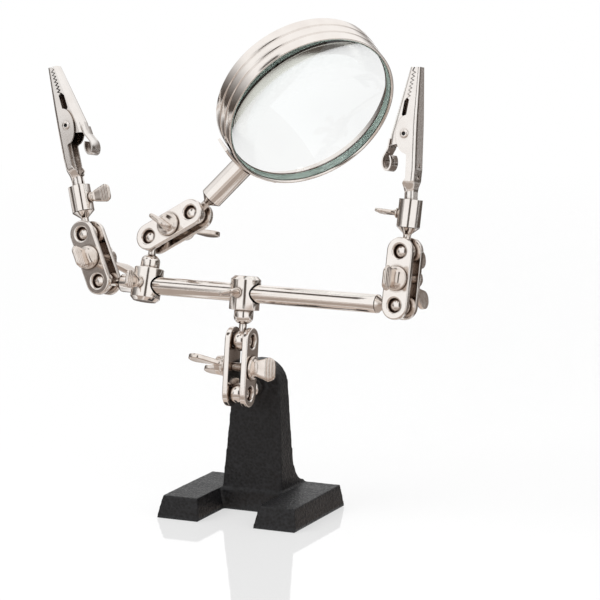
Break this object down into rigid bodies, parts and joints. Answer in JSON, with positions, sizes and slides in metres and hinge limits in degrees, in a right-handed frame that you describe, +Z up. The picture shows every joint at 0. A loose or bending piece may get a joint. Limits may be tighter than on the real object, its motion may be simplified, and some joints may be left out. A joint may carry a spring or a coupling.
{
  "type": "helping hands soldering stand",
  "caption": "Cast-iron stand with a cross bar on ball-and-plate links, spring clips that hold a circuit board, and a magnifying glass.",
  "frame": {"origin": "centre of the base's underside, on the surface that it stands on", "axes": "+Z up, +X along the cross bar to the right, the front faces -Y"},
  "size_m": [0.1523, 0.0678, 0.1714],
  "materials": {
    "cast_black": "black textured paint on a sand casting",
    "nickel_plate": "bright nickel plate",
    "plated_sheet": "nickel-plated stamped sheet",
    "spring_wire": "drawn spring wire",
    "lens_glass": "clear polished glass"
  },
  "bodies": {
    "base": {"base_casting": "cast_black"},
    "base_stud": {"base_ball_stud": "nickel_plate"},
    "centre_link": {"centre_plate_left": "nickel_plate", "centre_plate_right": "nickel_plate"},
    "centre_screw": {"centre_thumb_screw": "nickel_plate"},
    "centre_nut": {"centre_wing_nut": "nickel_plate"},
    "centre_stud": {"centre_clamp_ball_stud": "nickel_plate"},
    "centre_clamp": {"centre_clamp_body": "nickel_plate"},
    "centre_clamp_screw": {"centre_clamp_screw": "nickel_plate"},
    "bar": {"cross_bar": "nickel_plate"},
    "left_bar_stud": {"left_bar_ball_stud": "nickel_plate"},
    "left_link": {"left_plate_front": "nickel_plate", "left_plate_rear": "nickel_plate"},
    "left_screw": {"left_thumb_screw": "nickel_plate"},
    "left_nut": {"left_wing_nut": "nickel_plate"},
    "left_socket_stud": {"left_socket_ball_stud": "nickel_plate"},
    "left_socket_cup": {"left_socket": "nickel_plate", "left_clip_fixed_jaw": "plated_sheet", "left_clip_rivet": "nickel_plate", "left_clip_spring": "spring_wire"},
    "left_cup_screw": {"left_socket_screw": "nickel_plate"},
    "left_jaw": {"left_clip_moving_jaw": "plated_sheet"},
    "right_bar_stud": {"right_bar_ball_stud": "nickel_plate"},
    "right_link": {"right_plate_front": "nickel_plate", "right_plate_rear": "nickel_plate"},
    "right_screw": {"right_thumb_screw": "nickel_plate"},
    "right_nut": {"right_wing_nut": "nickel_plate"},
    "right_socket_stud": {"right_socket_ball_stud": "nickel_plate"},
    "right_socket_cup": {"right_socket": "nickel_plate", "right_clip_fixed_jaw": "plated_sheet", "right_clip_rivet": "nickel_plate", "right_clip_spring": "spring_wire"},
    "right_cup_screw": {"right_socket_screw": "nickel_plate"},
    "right_jaw": {"right_clip_moving_jaw": "plated_sheet"},
    "lens_clamp": {"lens_clamp_body": "nickel_plate"},
    "lens_clamp_screw": {"lens_clamp_screw": "nickel_plate"},
    "lens_clamp_stud": {"lens_clamp_ball_stud": "nickel_plate"},
    "lens_link": {"lens_plate_front": "nickel_plate", "lens_plate_rear": "nickel_plate"},
    "lens_screw": {"lens_thumb_screw": "nickel_plate"},
    "lens_nut": {"lens_wing_nut": "nickel_plate"},
    "lens_stud": {"lens_ball_stud": "nickel_plate"},
    "lens_holder": {"lens_stem": "nickel_plate", "lens_saddle": "nickel_plate", "lens_ring": "nickel_plate", "lens": "lens_glass"}
  },
  "joints": [
    {"name": "base_ball_turn", "type": "hinge", "parent": "base", "child": "base_stud", "pos_m": [0, -0.00958, 0.0438], "axis": [0, 1, 0], "range_deg": [-35, 35]},
    {"name": "base_link_swing", "type": "hinge", "parent": "base_stud", "child": "centre_link", "pos_m": [0, -0.00958, 0.0438], "axis": [-1, 0, 0], "range_deg": [-50, 30]},
    {"name": "centre_screw_turn", "type": "hinge", "parent": "centre_link", "child": "centre_screw", "pos_m": [0, -0.0084, 0.05272], "axis": [1, 0, 0], "continuous": true},
    {"name": "centre_nut_turn", "type": "hinge", "parent": "centre_link", "child": "centre_nut", "pos_m": [0, -0.0084, 0.05272], "axis": [-1, 0, 0], "continuous": true},
    {"name": "centre_clamp_swing", "type": "hinge", "parent": "centre_link", "child": "centre_stud", "pos_m": [0, -0.00723, 0.06165], "axis": [1, 0, 0], "range_deg": [-70, 70]},
    {"name": "centre_clamp_turn", "type": "hinge", "parent": "centre_stud", "child": "centre_clamp", "pos_m": [0, -0.00723, 0.06165], "axis": [0, -0.1736, -0.9848], "range_deg": [-60, 60]},
    {"name": "centre_clamp_screw_turn", "type": "hinge", "parent": "centre_clamp", "child": "centre_clamp_screw", "pos_m": [0, -0.00438, 0.0778], "axis": [-0.1045, -0.9794, 0.1727], "continuous": true},
    {"name": "bar_slide", "type": "slide", "parent": "centre_clamp", "child": "bar", "axis": [-0.9945, 0.1029, -0.0182], "range_m": [-0.024, 0.04]},
    {"name": "left_arm_turn", "type": "hinge", "parent": "bar", "child": "left_bar_stud", "pos_m": [-0.05768, 0.00159, 0.07674], "axis": [0.9945, -0.1029, 0.0182], "range_deg": [-90, 90]},
    {"name": "left_link_swing", "type": "hinge", "parent": "left_bar_stud", "child": "left_link", "pos_m": [-0.05768, 0.00159, 0.07674], "axis": [0.1045, 0.9794, -0.1727], "range_deg": [-110, 32]},
    {"name": "left_screw_turn", "type": "hinge", "parent": "left_link", "child": "left_screw", "pos_m": [-0.06175, 0.0034, 0.08457], "axis": [-0.1045, -0.9794, 0.1727], "continuous": true},
    {"name": "left_nut_turn", "type": "hinge", "parent": "left_link", "child": "left_nut", "pos_m": [-0.06175, 0.0034, 0.08457], "axis": [0.1045, 0.9794, -0.1727], "continuous": true},
    {"name": "left_socket_swing", "type": "hinge", "parent": "left_link", "child": "left_socket_stud", "pos_m": [-0.06581, 0.00522, 0.09239], "axis": [0.1045, 0.9794, -0.1727], "range_deg": [-90, 65]},
    {"name": "left_clip_turn", "type": "hinge", "parent": "left_socket_stud", "child": "left_socket_cup", "pos_m": [-0.06581, 0.00522, 0.09239], "axis": [0.2991, -0.1966, -0.9338], "range_deg": [-90, 90]},
    {"name": "left_socket_screw_turn", "type": "hinge", "parent": "left_socket_cup", "child": "left_cup_screw", "pos_m": [-0.06953, 0.00766, 0.10402], "axis": [0.9485, -0.046, 0.3134], "continuous": true},
    {"name": "left_jaw_open", "type": "hinge", "parent": "left_socket_cup", "child": "left_jaw", "pos_m": [-0.07592, 0.01282, 0.12937], "axis": [0.1045, 0.9794, -0.1727], "range_deg": [0, 32], "stiffness_Nm_per_rad": 0.06, "springref_deg": -34.38, "deforming": ["left_clip_spring"]},
    {"name": "right_arm_turn", "type": "hinge", "parent": "bar", "child": "right_bar_stud", "pos_m": [0.05967, -0.01056, 0.07889], "axis": [0.9945, -0.1029, 0.0182], "range_deg": [-90, 90]},
    {"name": "right_link_swing", "type": "hinge", "parent": "right_bar_stud", "child": "right_link", "pos_m": [0.05967, -0.01056, 0.07889], "axis": [0.1045, 0.9794, -0.1727], "range_deg": [-34, 110]},
    {"name": "right_screw_turn", "type": "hinge", "parent": "right_link", "child": "right_screw", "pos_m": [0.05998, -0.00903, 0.08775], "axis": [-0.1045, -0.9794, 0.1727], "continuous": true},
    {"name": "right_nut_turn", "type": "hinge", "parent": "right_link", "child": "right_nut", "pos_m": [0.05998, -0.00903, 0.08775], "axis": [0.1045, 0.9794, -0.1727], "continuous": true},
    {"name": "right_socket_swing", "type": "hinge", "parent": "right_link", "child": "right_socket_stud", "pos_m": [0.0603, -0.0075, 0.09661], "axis": [-0.1045, -0.9794, 0.1727], "range_deg": [-90, 90]},
    {"name": "right_clip_turn", "type": "hinge", "parent": "right_socket_stud", "child": "right_socket_cup", "pos_m": [0.0603, -0.0075, 0.09661], "axis": [-0.0434, -0.169, -0.9847], "range_deg": [-90, 90]},
    {"name": "right_socket_screw_turn", "type": "hinge", "parent": "right_socket_cup", "child": "right_cup_screw", "pos_m": [0.06084, -0.00539, 0.10887], "axis": [-0.9936, 0.1104, 0.0248], "continuous": true},
    {"name": "right_jaw_open", "type": "hinge", "parent": "right_socket_cup", "child": "right_jaw", "pos_m": [0.05848, -0.00055, 0.13493], "axis": [-0.1045, -0.9794, 0.1727], "range_deg": [0, 32], "stiffness_Nm_per_rad": 0.06, "springref_deg": -34.38, "deforming": ["right_clip_spring"]},
    {"name": "lens_clamp_slide", "type": "slide", "parent": "bar", "child": "lens_clamp", "axis": [0.9945, -0.1029, 0.0182], "range_m": [-0.004, 0.024]},
    {"name": "lens_clamp_screw_turn", "type": "hinge", "parent": "lens_clamp", "child": "lens_clamp_screw", "pos_m": [-0.03978, -0.00026, 0.07707], "axis": [-0.1032, -0.9402, 0.3246], "continuous": true},
    {"name": "lens_ball_turn", "type": "hinge", "parent": "lens_clamp", "child": "lens_clamp_stud", "pos_m": [-0.03951, 0.00506, 0.09258], "axis": [0.0164, 0.3247, 0.9457], "range_deg": [-90, 90]},
    {"name": "lens_link_swing", "type": "hinge", "parent": "lens_clamp_stud", "child": "lens_link", "pos_m": [-0.03951, 0.00506, 0.09258], "axis": [-0.1032, -0.9402, 0.3246], "range_deg": [-15, 70]},
    {"name": "lens_screw_turn", "type": "hinge", "parent": "lens_link", "child": "lens_screw", "pos_m": [-0.03184, 0.00583, 0.09723], "axis": [-0.1032, -0.9402, 0.3246], "continuous": true},
    {"name": "lens_nut_turn", "type": "hinge", "parent": "lens_link", "child": "lens_nut", "pos_m": [-0.03184, 0.00583, 0.09723], "axis": [0.1032, 0.9402, -0.3246], "continuous": true},
    {"name": "lens_stem_swing", "type": "hinge", "parent": "lens_link", "child": "lens_stud", "pos_m": [-0.02417, 0.00659, 0.10188], "axis": [0.1032, 0.9402, -0.3246], "range_deg": [-80, 20]},
    {"name": "lens_turn", "type": "hinge", "parent": "lens_stud", "child": "lens_holder", "pos_m": [-0.02417, 0.00659, 0.10188], "axis": [0.6712, 0.175, 0.7203], "range_deg": [-90, 90]}
  ]
}
